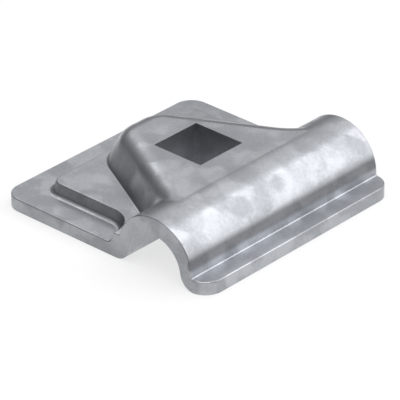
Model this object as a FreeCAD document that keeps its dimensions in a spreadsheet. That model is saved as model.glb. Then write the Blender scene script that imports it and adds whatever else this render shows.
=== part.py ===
import FreeCAD, Part
import math
import os
import Sketcher
from FreeCAD import Vector

# Saddle clamp plate in one piece, pressed and galvanised. All sizes are in millimetres and degrees.
# The origin is on the underside, at the middle of the plate and on the axis of the square hole.
# X runs across the plate to the narrow flange, Y runs along the groove, and Z points up.
DRIVING_SIZES = {
    # the flat plate under everything
    "plate_width": 48.6,
    "plate_length": 49.2,
    "plate_thickness": 2.5,
    "plate_corner_radius": 3.6,
    # the half-round saddle, and the groove in its underside that lies over a round conductor
    "overall_height": 11.25,
    "saddle_radius": 8.4,
    "flange_width": 3.7,
    "groove_radius": 6.05,
    "saddle_wall": 3.4,
    "groove_lip_radius": 3.05,
    # the low raised pad, which goes on as a narrow ledge along the saddle
    "pad_height": 4.8,
    "pad_margin": 5.3,
    "pad_draft": 20.0,
    "pad_corner_radius": 3.0,
    "ledge_width": 2.05,
    "ledge_corner_radius": 4.6,
    # the wedge-shaped boss, which rises from the pad and runs into the top of the saddle
    "boss_draft": 25.0,
    "boss_top_step": 0.06,
    "boss_top_radius": 4.5,
    "boss_nose_step": 0.36,
    "boss_nose_half_width": 6.3,
    "boss_nose_radius": 8.4,
    "boss_end_margin": 6.6,
    # the turn of the boss's walls along the saddle, and the hollow blend between the two
    "boss_sweep_radius": 9.0,
    "boss_sweep_step": 4.0,
    "boss_blend_radius": 3.0,
    # the hole for a bolt with a square neck
    "hole_width": 11.0,
    # the soft inside corners where the pad stands on the plate, and the saddle on the plate and the ledge
    "pad_foot_radius": 0.9,
    "saddle_foot_radius": 0.3,
    # the rounded upper edges of the pad, and of the plate with its two end faces
    "pad_edge_radius": 0.35,
    "outer_edge_radius": 0.24,
    # how far a trimmed outline is drawn past the finished edge
    "overrun": 4.0,
}

# The most that the hollow blend may take up of the boss's height, and the outer rounding of the pad's.
BLEND_SHARE = 0.7
OUTER_EDGE_SHARE = 0.7

# Places that follow from the driving sizes, as formulas in the same sheet.
WORKED_OUT = {
    "plate_half_width": "=plate_width / 2",
    "plate_half_length": "=plate_length / 2",
    "outside_x": "=plate_half_width + 2 * overrun",
    "outside_y": "=plate_half_length + 2 * overrun",
    "below": "=-overrun",
    "saddle_axis": "=plate_half_width - flange_width - saddle_radius",
    "saddle_left": "=saddle_axis - saddle_radius",
    "saddle_centre": "=overall_height - saddle_radius",
    "groove_centre": "=overall_height - saddle_wall - groove_radius",
    "lip_reach": "=sqrt((groove_radius + groove_lip_radius)^2 - (groove_centre - groove_lip_radius)^2)",
    "lip_left": "=saddle_axis - lip_reach",
    "lip_right": "=saddle_axis + lip_reach",
    "pad_nose": "=plate_half_width - pad_margin",
    "pad_side": "=plate_half_length - pad_margin",
    "ledge_edge": "=saddle_left - ledge_width",
    "ledge_end": "=plate_half_length + overrun",
    "pad_lean": "=(pad_height - plate_thickness) * tan(pad_draft)",
    "boss_nose": "=pad_nose - pad_lean - boss_nose_step",
    "boss_flank": "=saddle_axis - sqrt(saddle_radius^2 - (pad_height - saddle_centre)^2)",
    "boss_top": "=overall_height - boss_top_step",
    "boss_slope": "=(plate_half_length - boss_end_margin - boss_nose_half_width) / (boss_flank + boss_nose)",
    "boss_far": "=saddle_axis + overrun",
    "boss_turn": "=saddle_axis - boss_sweep_step",
    "boss_turn_half_width": "=boss_nose_half_width + boss_slope * (boss_turn + boss_nose)",
    "boss_blend": f"=min(boss_blend_radius; {BLEND_SHARE} * (overall_height - pad_height))",
    "hole_half_width": "=hole_width / 2",
    "outer_edge": f"=min(outer_edge_radius; {OUTER_EDGE_SHARE} * pad_edge_radius)",
}

# How close two numbers are to count as one place.
NEAR = 0.01


def make_sheet(document):
    """The spreadsheet with the driving sizes and the places that follow from them."""
    sheet = document.addObject("Spreadsheet::Sheet", "Sizes")
    rows = list(DRIVING_SIZES.items()) + list(WORKED_OUT.items())
    for row, (alias, content) in enumerate(rows, start=1):
        sheet.set(f"A{row}", alias)
        sheet.set(f"B{row}", str(content))
        sheet.setAlias(f"B{row}", alias)
    document.recompute()
    return sheet


class Plan:
    """Sketches of one body, whose points and radii are bound to names in the sheet."""

    def __init__(self, sheet, body):
        self.sheet = sheet
        self.body = body

    def value(self, name):
        """The number behind a name, which may carry a minus sign."""
        sign = -1.0 if name.startswith("-") else 1.0
        return sign * float(getattr(self.sheet, name.lstrip("-")))

    def formula(self, name):
        """The same name as an expression."""
        sign = "-" if name.startswith("-") else ""
        return sign + "Sizes." + name.lstrip("-")

    def point(self, x_name, y_name):
        return Vector(self.value(x_name), self.value(y_name) if y_name else 0, 0)

    def sketch(self, name, plane_role, height=None):
        """A sketch on one of the body's own planes, lifted to a named height."""
        sketch = self.body.newObject("Sketcher::SketchObject", name)
        plane = next(p for p in self.body.Origin.OriginFeatures if p.Role == plane_role)
        sketch.AttachmentSupport = [(plane, "")]
        sketch.MapMode = "FlatFace"
        if height:
            sketch.setExpression("AttachmentOffset.Base.z", self.formula(height))
        return sketch

    def bind(self, sketch, name, kind, *places):
        """A dimension whose value is a named size."""
        index = sketch.addConstraint(Sketcher.Constraint(kind, *places, self.value(name)))
        sketch.setExpression(f"Constraints[{index}]", self.formula(name))

    def hold(self, sketch, geometry, end, x_name, y_name):
        """Keep one point of the sketch at two named places."""
        self.bind(sketch, x_name, "DistanceX", -1, 1, geometry, end)
        if y_name:
            self.bind(sketch, y_name, "DistanceY", -1, 1, geometry, end)
        else:
            sketch.addConstraint(Sketcher.Constraint("PointOnObject", geometry, end, -1))

    def outline(self, sketch, corners):
        """A closed outline through named corners, anticlockwise, each sharp or with a named radius."""
        places = [self.point(x_name, y_name) for x_name, y_name, radius_name in corners]
        rounding = []
        for index, (x_name, y_name, radius_name) in enumerate(corners):
            here = places[index]
            back = (places[index - 1] - here).normalize()
            ahead = (places[(index + 1) % len(places)] - here).normalize()
            radius = self.value(radius_name) if radius_name else 0.0
            half = back.getAngle(ahead) / 2
            reach = radius / math.tan(half)
            centre = here + (back + ahead).normalize() * (radius / math.sin(half))
            left_turn = ahead.cross(back).z > 0
            rounding.append((here + back * reach, centre, here + ahead * reach, radius, left_turn))
        sides = []
        for index, corner in enumerate(rounding):
            leave = corner[2]
            arrive = rounding[(index + 1) % len(rounding)][0]
            sides.append(sketch.addGeometry(Part.LineSegment(leave, arrive), False))
        for index, (x_name, y_name, radius_name) in enumerate(corners):
            arrive, centre, leave, radius, left_turn = rounding[index]
            incoming = sides[index - 1]
            outgoing = sides[index]
            if not radius_name:
                sketch.addConstraint(Sketcher.Constraint("Coincident", incoming, 2, outgoing, 1))
                self.hold(sketch, outgoing, 1, x_name, y_name)
                continue
            mark = sketch.addGeometry(Part.Point(places[index]), True)
            self.hold(sketch, mark, 1, x_name, y_name)
            sketch.addConstraint(Sketcher.Constraint("PointOnObject", mark, 1, incoming))
            sketch.addConstraint(Sketcher.Constraint("PointOnObject", mark, 1, outgoing))
            first, last = (arrive, leave) if left_turn else (leave, arrive)
            arc = sketch.addGeometry(arc_between(centre, radius, first, last), False)
            first_end, last_end = (1, 2) if left_turn else (2, 1)
            sketch.addConstraint(Sketcher.Constraint("Tangent", incoming, 2, arc, first_end))
            sketch.addConstraint(Sketcher.Constraint("Tangent", arc, last_end, outgoing, 1))
            self.bind(sketch, radius_name, "Radius", arc)


def arc_between(centre, radius, first, last):
    """The arc that runs anticlockwise from one point to the other."""
    start = math.atan2(first.y - centre.y, first.x - centre.x)
    stop = math.atan2(last.y - centre.y, last.x - centre.x)
    if stop < start:
        stop += 2 * math.pi
    return Part.ArcOfCircle(Part.Circle(centre, Vector(0, 0, 1), radius), start, stop)


def pad(plan, name, sketch, length, symmetric=False):
    """Raise a sketch by a named length."""
    feature = plan.body.newObject("PartDesign::Pad", name)
    feature.Profile = sketch
    if symmetric:
        feature.SideType = "Symmetric"
    feature.setExpression("Length", length)
    return finish(plan, feature)


def pocket(plan, name, sketch, reversed_direction=True, symmetric=False):
    """Cut a sketch right through the body."""
    before = plan.body.Shape.Volume
    feature = plan.body.newObject("PartDesign::Pocket", name)
    feature.Profile = sketch
    feature.Type = "ThroughAll"
    if symmetric:
        feature.SideType = "Symmetric"
    feature.Reversed = reversed_direction
    finish(plan, feature)
    if before - feature.Shape.Volume < NEAR:
        raise RuntimeError(name + " cut nothing")
    return feature


def lean_walls(plan, name, angle, floor, chosen):
    """Lean the upright walls that a test picks out, about the level of their foot."""
    base = plan.body.Tip
    faces = list(enumerate(base.Shape.Faces, start=1))
    feature = plan.body.newObject("PartDesign::Draft", name)
    feature.Base = (base, [f"Face{i}" for i, face in faces if upright(face) and chosen(face)])
    feature.NeutralPlane = (base, [next(f"Face{i}" for i, face in faces if level(face, floor))])
    feature.setExpression("Angle", angle)
    return finish(plan, feature)


def round_edges(plan, name, radius, chosen):
    """Round the edges of the body that a test picks out."""
    base = plan.body.Tip
    names = [f"Edge{i}" for i, edge in enumerate(base.Shape.Edges, start=1) if chosen(edge)]
    if not names:
        raise RuntimeError(name + " found no edge")
    feature = plan.body.newObject("PartDesign::Fillet", name)
    feature.Base = (base, names)
    feature.setExpression("Radius", radius)
    return finish(plan, feature)


def finish(plan, feature):
    """Work out a feature and stop if it failed."""
    plan.body.Document.recompute()
    if "Invalid" in feature.State or "Error" in feature.State or not feature.Shape.isValid():
        raise RuntimeError(f"{feature.Name} failed: {feature.State}")
    print(feature.Name, round(plan.body.Shape.Volume, 2), len(plan.body.Shape.Solids))
    return feature


def upright(face):
    """Whether a face stands straight up."""
    low, high = face.ParameterRange[0], face.ParameterRange[1]
    return abs(face.normalAt((low + high) / 2, face.ParameterRange[2]).z) < NEAR


def level(shape, height):
    """Whether an edge or a face lies flat at one height."""
    box = shape.BoundBox
    return abs(box.ZMin - height) < NEAR and abs(box.ZMax - height) < NEAR


def add_boss(plan):
    """The wedge-shaped boss, whose leaning walls sweep round into the saddle below a broad soft top edge."""
    sketch = plan.sketch("BossOutline", "XY_Plane", "pad_height")
    plan.outline(sketch, [
        ("-boss_nose", "-boss_nose_half_width", "boss_nose_radius"),
        ("boss_turn", "-boss_turn_half_width", "boss_sweep_radius"),
        ("boss_turn", "-ledge_end", None),
        ("boss_far", "-ledge_end", None),
        ("boss_far", "ledge_end", None),
        ("boss_turn", "ledge_end", None),
        ("boss_turn", "boss_turn_half_width", "boss_sweep_radius"),
        ("-boss_nose", "boss_nose_half_width", "boss_nose_radius"),
    ])
    pad(plan, "Boss", sketch, "Sizes.boss_top - Sizes.pad_height")
    top = plan.value("boss_top")
    far = plan.value("boss_far")
    lean_walls(plan, "BossWalls", "Sizes.boss_draft", plan.value("pad_height"),
               lambda face: face.BoundBox.XMax < far - NEAR)
    round_edges(plan, "BossTopEdge", "Sizes.boss_top_radius",
                lambda edge: level(edge, top) and edge.BoundBox.XMax < far - NEAR)
    sketch = plan.sketch("BossEnd", "XY_Plane")
    plan.outline(sketch, [
        ("saddle_axis", "-outside_y", None),
        ("outside_x", "-outside_y", None),
        ("outside_x", "outside_y", None),
        ("saddle_axis", "outside_y", None),
    ])
    pocket(plan, "BossTrim", sketch)


def add_pad(plan):
    """The raised pad with leaning walls, and the ledge that runs out to both end faces."""
    sketch = plan.sketch("PadOutline", "XY_Plane", "plate_thickness")
    half = [
        ("saddle_axis", "ledge_end", None),
        ("ledge_edge", "ledge_end", None),
        ("ledge_edge", "pad_side", "ledge_corner_radius"),
        ("-pad_nose", "pad_side", "pad_corner_radius"),
    ]
    other_half = [(x_name, "-" + y_name, radius_name) for x_name, y_name, radius_name in reversed(half)]
    plan.outline(sketch, half + other_half)
    pad(plan, "RaisedPad", sketch, "Sizes.pad_height - Sizes.plate_thickness")
    floor = plan.value("plate_thickness")
    ledge_edge = plan.value("ledge_edge")
    lean_walls(plan, "PadWalls", "Sizes.pad_draft", floor,
               lambda face: abs(face.BoundBox.ZMin - floor) < NEAR and face.BoundBox.XMax < ledge_edge + NEAR)


def add_saddle(plan):
    """The half-round saddle, drawn as two arcs that rise from the underside and meet on its top line."""
    sketch = plan.sketch("SaddleSection", "XZ_Plane")
    centre = plan.point("saddle_axis", "saddle_centre")
    radius = plan.value("saddle_radius")
    half_floor = math.sqrt(radius ** 2 - centre.y ** 2)
    top = centre + Vector(0, radius, 0)
    right_foot = Vector(centre.x + half_floor, 0, 0)
    left_foot = Vector(centre.x - half_floor, 0, 0)
    right_arc = sketch.addGeometry(arc_between(centre, radius, right_foot, top), False)
    left_arc = sketch.addGeometry(arc_between(centre, radius, top, left_foot), False)
    floor = sketch.addGeometry(Part.LineSegment(left_foot, right_foot), False)
    sketch.addConstraint([
        Sketcher.Constraint("Coincident", right_arc, 3, left_arc, 3),
        Sketcher.Constraint("Coincident", right_arc, 2, left_arc, 1),
        Sketcher.Constraint("Vertical", right_arc, 3, right_arc, 2),
        Sketcher.Constraint("Coincident", left_arc, 2, floor, 1),
        Sketcher.Constraint("Coincident", floor, 2, right_arc, 1),
        Sketcher.Constraint("PointOnObject", floor, 1, -1),
        Sketcher.Constraint("PointOnObject", floor, 2, -1),
    ])
    plan.hold(sketch, right_arc, 3, "saddle_axis", "saddle_centre")
    plan.bind(sketch, "saddle_radius", "Radius", right_arc)
    pad(plan, "Saddle", sketch, "Sizes.plate_length", symmetric=True)


def blend_boss(plan):
    """The hollow blend that runs up one side of the boss, along its top and down the other side."""
    shelf = plan.value("pad_height")
    centre = plan.point("saddle_axis", "saddle_centre")
    radius = plan.value("saddle_radius")
    half_length = plan.value("plate_half_length")

    def on_saddle(edge):
        first, last = edge.ParameterRange
        spots = [edge.valueAt(first + share * (last - first)) for share in (0.0, 0.5, 1.0)]
        return all(spot.x < centre.x - NEAR and spot.z > shelf - NEAR and abs(spot.y) < half_length - NEAR
                   and abs(math.hypot(spot.x - centre.x, spot.z - centre.y) - radius) < NEAR
                   for spot in spots) and not level(edge, shelf)

    round_edges(plan, "BossBlend", "Sizes.boss_blend", on_saddle)


def add_plate(plan):
    """The flat plate, still with square corners."""
    sketch = plan.sketch("PlateOutline", "XY_Plane")
    plan.outline(sketch, [
        ("-plate_half_width", "-plate_half_length", None),
        ("plate_half_width", "-plate_half_length", None),
        ("plate_half_width", "plate_half_length", None),
        ("-plate_half_width", "plate_half_length", None),
    ])
    pad(plan, "Plate", sketch, "Sizes.plate_thickness")


def trim_outline(plan):
    """Cut everything to the plate's outline with its round corners."""
    sketch = plan.sketch("TrimOutline", "XY_Plane")
    for x_name, y_name, radius_name in (("outside_x", "outside_y", None),
                                        ("plate_half_width", "plate_half_length", "plate_corner_radius")):
        plan.outline(sketch, [
            ("-" + x_name, "-" + y_name, radius_name),
            (x_name, "-" + y_name, radius_name),
            (x_name, y_name, radius_name),
            ("-" + x_name, y_name, radius_name),
        ])
    pocket(plan, "OutlineTrim", sketch)


def round_outer_edges(plan):
    """Soft inside corners, then rounded upper edges from one end face to the other."""
    floor = plan.value("plate_thickness")
    shelf = plan.value("pad_height")
    pad_nose = plan.value("pad_nose")
    boss_nose = plan.value("boss_nose")
    flank = plan.value("boss_flank")
    saddle_left = plan.value("saddle_left")
    axis = plan.value("saddle_axis")
    half_width = plan.value("plate_half_width")
    half_length = plan.value("plate_half_length")
    boss_half_width = half_length - plan.value("boss_end_margin")

    def on_end_face(edge):
        box = edge.BoundBox
        return box.YMin > half_length - NEAR or box.YMax < NEAR - half_length

    def pad_foot(edge):
        box = edge.BoundBox
        return (level(edge, floor) and not on_end_face(edge)
                and box.XMin > -pad_nose - NEAR and box.XMax < saddle_left)

    def saddle_foot(edge):
        box = edge.BoundBox
        return (level(edge, floor) and not on_end_face(edge)
                and box.XMin > axis and box.XMax < half_width - NEAR)

    def ledge_foot(edge):
        box = edge.BoundBox
        return (level(edge, shelf) and not on_end_face(edge)
                and box.XMin > flank - NEAR and box.XMax < flank + NEAR)

    def pad_edge(edge):
        box = edge.BoundBox
        beside_boss = box.YMin > boss_half_width - NEAR or box.YMax < NEAR - boss_half_width
        before_boss = box.XMax < -boss_nose - NEAR
        return (level(edge, shelf) and not on_end_face(edge) and box.XMax < flank - NEAR
                and (beside_boss or before_boss))

    def outer_edge(edge):
        box = edge.BoundBox
        if on_end_face(edge):
            return box.ZMin > floor - NEAR
        return level(edge, floor) and max(box.XMax, -box.XMin) > half_width - NEAR

    round_edges(plan, "PadFoot", "Sizes.pad_foot_radius", pad_foot)
    round_edges(plan, "SaddleFoot", "Sizes.saddle_foot_radius", saddle_foot)
    round_edges(plan, "LedgeFoot", "Sizes.saddle_foot_radius", ledge_foot)
    round_edges(plan, "PadEdge", "Sizes.pad_edge_radius", pad_edge)
    round_edges(plan, "OuterEdge", "Sizes.outer_edge", outer_edge)


def cut_groove(plan):
    """The half-round groove along the underside, which opens downwards between two rounded lips."""
    sketch = plan.sketch("GrooveSection", "XZ_Plane")
    centre = plan.point("saddle_axis", "groove_centre")
    radius = plan.value("groove_radius")
    lip_radius = plan.value("groove_lip_radius")
    left_lip_centre = plan.point("lip_left", "groove_lip_radius")
    right_lip_centre = plan.point("lip_right", "groove_lip_radius")
    share = radius / (radius + lip_radius)
    left_touch = centre + (left_lip_centre - centre) * share
    right_touch = centre + (right_lip_centre - centre) * share
    left_mouth = Vector(left_lip_centre.x, 0, 0)
    right_mouth = Vector(right_lip_centre.x, 0, 0)
    left_low = plan.point("lip_left", "below")
    right_low = plan.point("lip_right", "below")
    groove = sketch.addGeometry(arc_between(centre, radius, right_touch, left_touch), False)
    left_lip = sketch.addGeometry(arc_between(left_lip_centre, lip_radius, left_mouth, left_touch), False)
    right_lip = sketch.addGeometry(arc_between(right_lip_centre, lip_radius, right_touch, right_mouth), False)
    left_drop = sketch.addGeometry(Part.LineSegment(left_mouth, left_low), False)
    floor = sketch.addGeometry(Part.LineSegment(left_low, right_low), False)
    right_drop = sketch.addGeometry(Part.LineSegment(right_low, right_mouth), False)
    sketch.addConstraint([
        Sketcher.Constraint("Tangent", groove, 2, left_lip, 2),
        Sketcher.Constraint("Tangent", groove, 1, right_lip, 1),
        Sketcher.Constraint("Coincident", left_lip, 1, left_drop, 1),
        Sketcher.Constraint("Coincident", left_drop, 2, floor, 1),
        Sketcher.Constraint("Coincident", floor, 2, right_drop, 1),
        Sketcher.Constraint("Coincident", right_drop, 2, right_lip, 2),
        Sketcher.Constraint("Vertical", left_drop),
        Sketcher.Constraint("Vertical", right_drop),
        Sketcher.Constraint("Horizontal", floor),
        Sketcher.Constraint("PointOnObject", left_lip, 1, -1),
        Sketcher.Constraint("PointOnObject", right_lip, 2, -1),
        Sketcher.Constraint("Vertical", left_lip, 3, left_lip, 1),
        Sketcher.Constraint("Vertical", right_lip, 3, right_lip, 2),
    ])
    plan.hold(sketch, groove, 3, "saddle_axis", "groove_centre")
    plan.bind(sketch, "groove_radius", "Radius", groove)
    plan.bind(sketch, "groove_lip_radius", "Radius", left_lip)
    plan.bind(sketch, "groove_lip_radius", "Radius", right_lip)
    plan.bind(sketch, "below", "DistanceY", -1, 1, floor, 1)
    pocket(plan, "Groove", sketch, symmetric=True)


def cut_hole(plan):
    """The square hole through the boss and the plate."""
    sketch = plan.sketch("HoleOutline", "XY_Plane")
    plan.outline(sketch, [
        ("-hole_half_width", "-hole_half_width", None),
        ("hole_half_width", "-hole_half_width", None),
        ("hole_half_width", "hole_half_width", None),
        ("-hole_half_width", "hole_half_width", None),
    ])
    pocket(plan, "SquareHole", sketch)


def make_clamp_plate(document, sheet):
    """The whole part as one body."""
    body = document.addObject("PartDesign::Body", "ClampPlate")
    body.Label = "clamp_plate"
    plan = Plan(sheet, body)
    add_boss(plan)
    add_pad(plan)
    add_saddle(plan)
    blend_boss(plan)
    add_plate(plan)
    trim_outline(plan)
    round_outer_edges(plan)
    cut_groove(plan)
    cut_hole(plan)
    body.Placement = FreeCAD.Placement()
    return body


def check(document, bodies):
    """Stop if anything in the document failed or a body is no single sound solid."""
    for item in document.Objects:
        if "Invalid" in item.State or "Error" in item.State:
            raise RuntimeError(f"{item.Name} failed: {item.State}")
    for body in bodies:
        if body.Shape.isNull() or not body.Shape.isValid() or len(body.Shape.Solids) != 1:
            raise RuntimeError(body.Label + " is not one sound solid")


def main():
    document = FreeCAD.newDocument("SaddleClampPlate")
    sheet = make_sheet(document)
    bodies = [make_clamp_plate(document, sheet)]
    document.recompute()
    check(document, bodies)
    os.makedirs("parts", exist_ok=True)
    for body in bodies:
        body.Shape.exportStep(f"parts/{body.Label}.step")
        box = body.Shape.BoundBox
        print(body.Label, round(body.Shape.Volume, 1), [round(v, 3) for v in (box.XMin, box.XMax, box.YMin,
                                                                            box.YMax, box.ZMin, box.ZMax)])


main()
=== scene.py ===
import math

import bpy
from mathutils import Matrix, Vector


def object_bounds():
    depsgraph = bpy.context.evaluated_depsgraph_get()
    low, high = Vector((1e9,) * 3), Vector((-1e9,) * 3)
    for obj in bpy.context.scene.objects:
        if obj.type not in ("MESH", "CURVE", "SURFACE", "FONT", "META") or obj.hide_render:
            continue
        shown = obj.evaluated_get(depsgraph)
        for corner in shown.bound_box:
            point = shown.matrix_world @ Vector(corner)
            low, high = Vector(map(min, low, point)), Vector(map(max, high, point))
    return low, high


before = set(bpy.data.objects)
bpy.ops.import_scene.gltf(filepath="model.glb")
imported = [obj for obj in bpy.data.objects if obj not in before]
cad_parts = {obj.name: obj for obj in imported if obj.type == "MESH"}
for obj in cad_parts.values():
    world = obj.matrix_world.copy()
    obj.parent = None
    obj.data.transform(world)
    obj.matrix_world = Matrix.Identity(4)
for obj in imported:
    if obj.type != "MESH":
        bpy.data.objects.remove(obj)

bl_info = {
    "name": "Galvanised Saddle Clamp Plate",
    "version": (1, 0, 0),
    "blender": (4, 5, 0),
    "location": "View3D > Sidebar > Clamp Plate",
    "description": "Zinc finish and studio for a pressed saddle clamp plate with a square bolt hole",
    "category": "Object",
}

# The box of the CAD model, taken before anything is added to it.
CAD_LOW, CAD_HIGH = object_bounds()
PLATE_NODE = "clamp_plate"
MILLIMETRE = 0.001

# The zinc pattern: scales are per patch size, and weights add up to the pattern's value.
WARP_SCALE = 0.6
WARP_DETAIL = 2.0
WARP_REACH = 0.8
PATCH_SMOOTHNESS = 0.6
PATCH_WEIGHT = 0.45
CLOUD_SCALE = 0.35
CLOUD_DETAIL = 4.0
CLOUD_ROUGHNESS = 0.62
CLOUD_WEIGHT = 0.75
GRAIN_SCALE = 6.0
GRAIN_DETAIL = 3.0
GRAIN_WEIGHT = 0.45
PATTERN_DULL = 0.53
PATTERN_BRIGHT = 1.11
DULL_ROUGHER = 0.08
BRIGHT_SMOOTHER = 0.06
BUMP_STRENGTH = 0.12
BUMP_DEPTH = 0.05 * MILLIMETRE

# Painted reflection: a darker band painted along the foot of the saddle, above the flange, in place of a
# dark reflection there.
DARK_BAND_HEIGHT = 4.9 * MILLIMETRE
DARK_BAND_HALF_WIDTH = 0.5 * MILLIMETRE
DARK_BAND_FADE = 1.0 * MILLIMETRE
DARK_BAND_START = CAD_HIGH[0] - 4.9 * MILLIMETRE
DARK_BAND_FULL = CAD_HIGH[0] - 4.2 * MILLIMETRE

# How far a face may look up, or to the flange side, and still take the painted shade: parts of its normal.
STEEP_START = 0.62
STEEP_FULL = 0.42
UPRIGHT = 0.22
LEANING = 0.40
FLANGE_SIDE_NONE = 0.6
FLANGE_SIDE_FULL = 0.3

# The floor lies a little below the plate, so that the two faces aren't in one plane.
FLOOR_GAP = 0.05 * MILLIMETRE
FLOOR_REACH = 2.0
BACKGROUND_WHITE = 1.0

# Each soft box: azimuth and elevation in degrees, then distance, width and height in metres.
SOFT_BOXES = {
    "key": (49, 34, 0.6, 0.6, 0.62),
    "rear": (128, 48, 0.6, 0.75, 0.5),
    "left": (184, 50, 0.6, 0.5, 0.45),
    "top": (-48, 74, 0.7, 0.6, 0.5),
    "fill": (-80, 34, 0.6, 0.9, 0.5),
}

# The camera's sensor in millimetres, the range that it sees, and how far its axis passes from the origin.
SENSOR_WIDTH = 36.0
NEAR_LIMIT = 0.01
FAR_LIMIT = 20.0
AIM_RIGHT = 0.311 * MILLIMETRE
AIM_UP = -0.121 * MILLIMETRE


class ClampPlateZinc(bpy.types.PropertyGroup):
    """How the zinc coat looks."""
    colour: bpy.props.FloatVectorProperty(
        name="Zinc", description="Colour of the zinc where it is bright", subtype="COLOR",
        size=3, min=0.0, max=1.0, default=(0.482, 0.497, 0.523))
    dull_colour: bpy.props.FloatVectorProperty(
        name="Dull zinc", description="Colour of the zinc in its darker patches", subtype="COLOR",
        size=3, min=0.0, max=1.0, default=(0.352, 0.364, 0.387))
    # This tint is painted shade: it darkens steep faces and a band above the flange, in place of shade and
    # dark reflections.
    painted_shade_tint: bpy.props.FloatVectorProperty(
        name="Run-off tint", description="Tint of the dull zinc on steep faces and above the flange",
        subtype="COLOR", size=3, min=0.0, max=1.0, default=(0.54, 0.54, 0.545))
    # How far upright faces take the painted shade tint; leaning walls take it fully.
    wall_shade_share: bpy.props.FloatProperty(
        name="Steep faces", description="How far the upright faces take the run-off tint", subtype="FACTOR",
        min=0.0, max=1.0, default=0.45)
    patch_size: bpy.props.FloatProperty(
        name="Patch size", description="Width of one patch in the mottled zinc", subtype="DISTANCE",
        unit="LENGTH", min=0.0005, max=0.02, default=0.0032)
    roughness: bpy.props.FloatProperty(
        name="Roughness", description="How matt the zinc is", subtype="FACTOR",
        min=0.05, max=1.0, default=0.34)
    metal: bpy.props.FloatProperty(
        name="Metal", description="How far the zinc shines as bare metal", subtype="FACTOR",
        min=0.0, max=1.0, default=1.0)


class ClampPlateStudio(bpy.types.PropertyGroup):
    """The floor, the lamps and the camera."""
    floor_colour: bpy.props.FloatVectorProperty(
        name="Floor", description="Colour of the pale floor", subtype="COLOR",
        size=3, min=0.0, max=1.0, default=(0.92, 0.92, 0.92))
    floor_white: bpy.props.FloatProperty(
        name="Floor white", description="Share of plain white in the floor as eye and metal see it",
        subtype="FACTOR", min=0.0, max=1.0, default=0.7)
    world_colour: bpy.props.FloatVectorProperty(
        name="Room", description="Colour of the room round the floor", subtype="COLOR",
        size=3, min=0.0, max=1.0, default=(0.14, 0.14, 0.146))
    key_brightness: bpy.props.FloatProperty(
        name="Key lamp", description="Brightness of the large soft box behind and to the right",
        min=0.0, max=20.0, default=1.93)
    rear_brightness: bpy.props.FloatProperty(
        name="Rear lamp", description="Brightness of the large soft box behind and to the left",
        min=0.0, max=20.0, default=0.97)
    left_brightness: bpy.props.FloatProperty(
        name="Left lamp", description="Brightness of the soft box on the left",
        min=0.0, max=20.0, default=0.6)
    top_brightness: bpy.props.FloatProperty(
        name="Top lamp", description="Brightness of the soft box above the camera",
        min=0.0, max=20.0, default=2.7)
    fill_brightness: bpy.props.FloatProperty(
        name="Fill lamp", description="Brightness of the soft box in front, which lights the rear views",
        min=0.0, max=20.0, default=0.7)
    camera_azimuth: bpy.props.FloatProperty(
        name="Camera azimuth", description="Turn of the camera round the plate", subtype="ANGLE",
        default=math.radians(42.18))
    camera_elevation: bpy.props.FloatProperty(
        name="Camera elevation", description="Height of the camera above the horizon", subtype="ANGLE",
        default=math.radians(29.48))
    camera_distance: bpy.props.FloatProperty(
        name="Camera distance", description="Distance from the camera to the hole", subtype="DISTANCE",
        unit="LENGTH", min=0.1, max=5.0, default=0.6389)
    focal_length: bpy.props.FloatProperty(
        name="Focal length", description="Focal length of the lens", subtype="DISTANCE_CAMERA",
        min=10.0, max=1000.0, default=324.4)


def link(tree, source, target):
    """Join two sockets of a node tree."""
    tree.links.new(source, target)


def add_node(tree, kind, **settings):
    """Add a node and set its properties."""
    node = tree.nodes.new(kind)
    for name, setting in settings.items():
        setattr(node, name, setting)
    return node


def math_node(tree, operation, first, second):
    """Work one sum on a socket and on a second socket or a number."""
    node = add_node(tree, "ShaderNodeMath", operation=operation)
    link(tree, first, node.inputs[0])
    if isinstance(second, float):
        node.inputs[1].default_value = second
    else:
        link(tree, second, node.inputs[1])
    return node.outputs[0]


def add_weighted(tree, source, weight, so_far):
    """Add a share of one value to another."""
    node = add_node(tree, "ShaderNodeMath", operation="MULTIPLY_ADD")
    node.inputs[1].default_value = weight
    link(tree, source, node.inputs[0])
    link(tree, so_far, node.inputs[2])
    return node.outputs[0]


def smooth_share(tree, source, start, full, low=0.0, high=1.0):
    """Go smoothly from low to high while a value goes from start to full."""
    node = add_node(tree, "ShaderNodeMapRange", interpolation_type="SMOOTHSTEP")
    node.inputs["From Min"].default_value = start
    node.inputs["From Max"].default_value = full
    node.inputs["To Min"].default_value = low
    node.inputs["To Max"].default_value = high
    link(tree, source, node.inputs["Value"])
    return node.outputs["Result"]


def split_vector(tree, source):
    """Give the X, Y and Z of a vector."""
    node = add_node(tree, "ShaderNodeSeparateXYZ")
    link(tree, source, node.inputs[0])
    return node.outputs


def noise(tree, position, scale, detail):
    """Noise that sits still on the plate."""
    node = add_node(tree, "ShaderNodeTexNoise")
    node.inputs["Scale"].default_value = scale
    node.inputs["Detail"].default_value = detail
    link(tree, position, node.inputs["Vector"])
    return node


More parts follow.
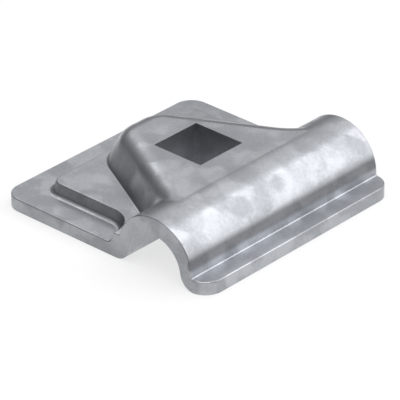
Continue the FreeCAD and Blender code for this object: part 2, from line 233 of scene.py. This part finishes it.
def zinc_pattern(tree, position, patch_size):
    """Mottling of a zinc bath: bent patches, soft clouds and fine grain, added up."""
    warp = noise(tree, position, WARP_SCALE / patch_size, WARP_DETAIL)
    bent = add_node(tree, "ShaderNodeVectorMath", operation="MULTIPLY_ADD")
    bent.inputs[1].default_value = (patch_size * WARP_REACH,) * 3
    link(tree, warp.outputs["Color"], bent.inputs[0])
    link(tree, position, bent.inputs[2])
    patches = add_node(tree, "ShaderNodeTexVoronoi", feature="SMOOTH_F1")
    patches.inputs["Scale"].default_value = 1.0 / patch_size
    patches.inputs["Smoothness"].default_value = PATCH_SMOOTHNESS
    link(tree, bent.outputs[0], patches.inputs["Vector"])
    patch_tone = add_node(tree, "ShaderNodeSeparateColor")
    link(tree, patches.outputs["Color"], patch_tone.inputs[0])
    clouds = noise(tree, position, CLOUD_SCALE / patch_size, CLOUD_DETAIL)
    clouds.inputs["Roughness"].default_value = CLOUD_ROUGHNESS
    grain = noise(tree, position, GRAIN_SCALE / patch_size, GRAIN_DETAIL)
    pattern = math_node(tree, "MULTIPLY", clouds.outputs["Fac"], CLOUD_WEIGHT)
    pattern = add_weighted(tree, patch_tone.outputs[0], PATCH_WEIGHT, pattern)
    return add_weighted(tree, grain.outputs["Fac"], GRAIN_WEIGHT, pattern)


def painted_shade_places(tree, position, normal, wall_shade_share):
    """Where painted shade darkens the zinc: a band above the flange, leaning walls and, less so, upright
    faces, but not faces turned to the flange side.
    """
    place = split_vector(tree, position)
    # Painted reflection: a dark band along the saddle's foot above the flange, set by height and by nearness
    # to the flange.
    above_line = math_node(tree, "SUBTRACT", place["Z"], DARK_BAND_HEIGHT)
    from_line = add_node(tree, "ShaderNodeMath", operation="ABSOLUTE")
    link(tree, above_line, from_line.inputs[0])
    outer = DARK_BAND_HALF_WIDTH + DARK_BAND_FADE
    on_line = smooth_share(tree, from_line.outputs[0], outer, DARK_BAND_HALF_WIDTH)
    at_saddle_foot = smooth_share(tree, place["X"], DARK_BAND_START, DARK_BAND_FULL)
    painted_band = math_node(tree, "MULTIPLY", on_line, at_saddle_foot)
    # Painted shade on walls: steep and leaning faces are darkened by the way they face, except those turned
    # to the flange side, where the light comes from.
    facing = split_vector(tree, normal)
    steep = smooth_share(tree, facing["Z"], STEEP_START, STEEP_FULL)
    leaning = smooth_share(tree, facing["Z"], UPRIGHT, LEANING, wall_shade_share, 1.0)
    wall = math_node(tree, "MULTIPLY", steep, leaning)
    off_flange_side = smooth_share(tree, facing["X"], FLANGE_SIDE_NONE, FLANGE_SIDE_FULL)
    shaded_wall = math_node(tree, "MULTIPLY", wall, off_flange_side)
    return math_node(tree, "MAXIMUM", painted_band, shaded_wall)


def zinc_material(zinc):
    """Hot-dip zinc: soft mottled patches, fine grain and a satin shine."""
    material = bpy.data.materials.new("hot_dip_zinc")
    material.use_nodes = True
    tree = material.node_tree
    shader = tree.nodes["Principled BSDF"]
    place = add_node(tree, "ShaderNodeTexCoord")
    position = place.outputs["Object"]
    pattern = zinc_pattern(tree, position, zinc.patch_size)
    brightness = smooth_share(tree, pattern, PATTERN_DULL, PATTERN_BRIGHT)
    colour = add_node(tree, "ShaderNodeMix", data_type="RGBA")
    colour.inputs["A"].default_value = (*zinc.dull_colour, 1.0)
    colour.inputs["B"].default_value = (*zinc.colour, 1.0)
    link(tree, brightness, colour.inputs["Factor"])
    # Multiplies the painted shade tint into the zinc colour, on shaded walls and on the dark band above the
    # flange.
    coat = add_node(tree, "ShaderNodeMix", data_type="RGBA", blend_type="MULTIPLY")
    coat.inputs["B"].default_value = (*zinc.painted_shade_tint, 1.0)
    link(tree, painted_shade_places(tree, position, place.outputs["Normal"], zinc.wall_shade_share), coat.inputs["Factor"])
    link(tree, colour.outputs["Result"], coat.inputs["A"])
    link(tree, coat.outputs["Result"], shader.inputs["Base Color"])
    shine = add_node(tree, "ShaderNodeMapRange")
    shine.inputs["To Min"].default_value = zinc.roughness + DULL_ROUGHER
    shine.inputs["To Max"].default_value = zinc.roughness - BRIGHT_SMOOTHER
    link(tree, brightness, shine.inputs["Value"])
    link(tree, shine.outputs["Result"], shader.inputs["Roughness"])
    bump = add_node(tree, "ShaderNodeBump")
    bump.inputs["Strength"].default_value = BUMP_STRENGTH
    bump.inputs["Distance"].default_value = BUMP_DEPTH
    link(tree, pattern, bump.inputs["Height"])
    link(tree, bump.outputs["Normal"], shader.inputs["Normal"])
    shader.inputs["Metallic"].default_value = zinc.metal
    return material


def floor_material(studio):
    """A pale floor that keeps the shadow, and that eye and metal see as nearly white."""
    material = bpy.data.materials.new("pale_floor")
    material.use_nodes = True
    tree = material.node_tree
    tree.nodes.remove(tree.nodes["Principled BSDF"])
    output = tree.nodes["Material Output"]
    matt = add_node(tree, "ShaderNodeBsdfDiffuse")
    matt.inputs["Color"].default_value = (*studio.floor_colour, 1.0)
    white = add_node(tree, "ShaderNodeEmission")
    white.inputs["Strength"].default_value = BACKGROUND_WHITE
    rays = add_node(tree, "ShaderNodeLightPath").outputs
    seen = math_node(tree, "MAXIMUM", rays["Is Camera Ray"], rays["Is Glossy Ray"])
    seen = math_node(tree, "MAXIMUM", seen, rays["Is Transmission Ray"])
    share = math_node(tree, "MULTIPLY", seen, studio.floor_white)
    mix = add_node(tree, "ShaderNodeMixShader")
    link(tree, share, mix.inputs[0])
    link(tree, matt.outputs[0], mix.inputs[1])
    link(tree, white.outputs[0], mix.inputs[2])
    link(tree, mix.outputs[0], output.inputs["Surface"])
    return material


def direction(azimuth, elevation):
    """The unit vector that points from the plate to a place in the studio."""
    level = math.cos(elevation)
    return Vector((math.cos(azimuth) * level, math.sin(azimuth) * level, math.sin(elevation)))


def add_soft_box(name, azimuth, elevation, distance, width, height, brightness):
    """A soft box that faces the plate. Seen in the metal, a brightness of 1 is white."""
    data = bpy.data.lights.new(name, "AREA")
    data.shape = "RECTANGLE"
    data.size = width
    data.size_y = height
    data.energy = brightness * math.pi * width * height
    lamp = bpy.data.objects.new(name, data)
    bpy.context.scene.collection.objects.link(lamp)
    toward = direction(math.radians(azimuth), math.radians(elevation))
    lamp.location = toward * distance
    lamp.rotation_euler = toward.to_track_quat("Z", "Y").to_euler()


def add_floor(studio):
    """A wide pale floor just below the plate."""
    level = CAD_LOW[2] - FLOOR_GAP
    edge = FLOOR_REACH
    corners = [(-edge, -edge, level), (edge, -edge, level), (edge, edge, level), (-edge, edge, level)]
    mesh = bpy.data.meshes.new("floor")
    mesh.from_pydata(corners, [], [(0, 1, 2, 3)])
    mesh.materials.append(floor_material(studio))
    floor = bpy.data.objects.new("floor", mesh)
    bpy.context.scene.collection.objects.link(floor)


def add_world(studio):
    """An even grey room round the floor."""
    world = bpy.data.worlds.new("room")
    world.use_nodes = True
    background = world.node_tree.nodes["Background"]
    background.inputs["Color"].default_value = (*studio.world_colour, 1.0)
    background.inputs["Strength"].default_value = 1.0
    bpy.context.scene.world = world


def add_camera(studio):
    """The camera, at the photograph's viewing angle."""
    data = bpy.data.cameras.new("camera")
    data.lens = studio.focal_length
    data.sensor_width = SENSOR_WIDTH
    data.clip_start = NEAR_LIMIT
    data.clip_end = FAR_LIMIT
    camera = bpy.data.objects.new("camera", data)
    bpy.context.scene.collection.objects.link(camera)
    turn = studio.camera_azimuth
    back = direction(turn - math.pi / 2, studio.camera_elevation)
    right = Vector((math.cos(turn), math.sin(turn), 0))
    up = back.cross(right)
    camera.location = back * studio.camera_distance + right * AIM_RIGHT + up * AIM_UP
    camera.rotation_euler = (math.pi / 2 - studio.camera_elevation, 0, turn)
    bpy.context.scene.camera = camera


class OBJECT_OT_clamp_plate_dress(bpy.types.Operator):
    """Give the plate its zinc coat"""
    bl_idname = "clamp_plate.dress"
    bl_label = "Coat the plate with zinc"

    def execute(self, context):
        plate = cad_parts[PLATE_NODE]
        material = zinc_material(context.scene.clamp_plate_zinc)
        for slot in plate.material_slots:
            slot.material = material
        return {"FINISHED"}


class OBJECT_OT_clamp_plate_stage(bpy.types.Operator):
    """Set up the pale floor, the soft lamps and the camera"""
    bl_idname = "clamp_plate.stage"
    bl_label = "Set up the studio"

    def execute(self, context):
        studio = context.scene.clamp_plate_studio
        add_floor(studio)
        add_world(studio)
        for name, place in SOFT_BOXES.items():
            add_soft_box(f"{name}_lamp", *place, getattr(studio, f"{name}_brightness"))
        add_camera(studio)
        context.scene.view_settings.view_transform = "Standard"
        return {"FINISHED"}


class VIEW3D_PT_clamp_plate(bpy.types.Panel):
    """Lists the plate's settings and steps"""
    bl_idname = "VIEW3D_PT_clamp_plate"
    bl_label = "Saddle Clamp Plate"
    bl_space_type = "VIEW_3D"
    bl_region_type = "UI"
    bl_category = "Clamp Plate"

    def draw(self, context):
        layout = self.layout
        for group in (context.scene.clamp_plate_zinc, context.scene.clamp_plate_studio):
            for name in group.__annotations__:
                layout.prop(group, name)
        for operator in OPERATORS:
            layout.operator(operator.bl_idname)


OPERATORS = (OBJECT_OT_clamp_plate_dress, OBJECT_OT_clamp_plate_stage)
CLASSES = (ClampPlateZinc, ClampPlateStudio, *OPERATORS, VIEW3D_PT_clamp_plate)


def register():
    for item in CLASSES:
        bpy.utils.register_class(item)
    bpy.types.Scene.clamp_plate_zinc = bpy.props.PointerProperty(type=ClampPlateZinc)
    bpy.types.Scene.clamp_plate_studio = bpy.props.PointerProperty(type=ClampPlateStudio)


def unregister():
    del bpy.types.Scene.clamp_plate_studio
    del bpy.types.Scene.clamp_plate_zinc
    for item in reversed(CLASSES):
        bpy.utils.unregister_class(item)


def main():
    """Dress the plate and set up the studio."""
    register()
    bpy.ops.clamp_plate.dress()
    bpy.ops.clamp_plate.stage()


if __name__ == "__main__":
    main()
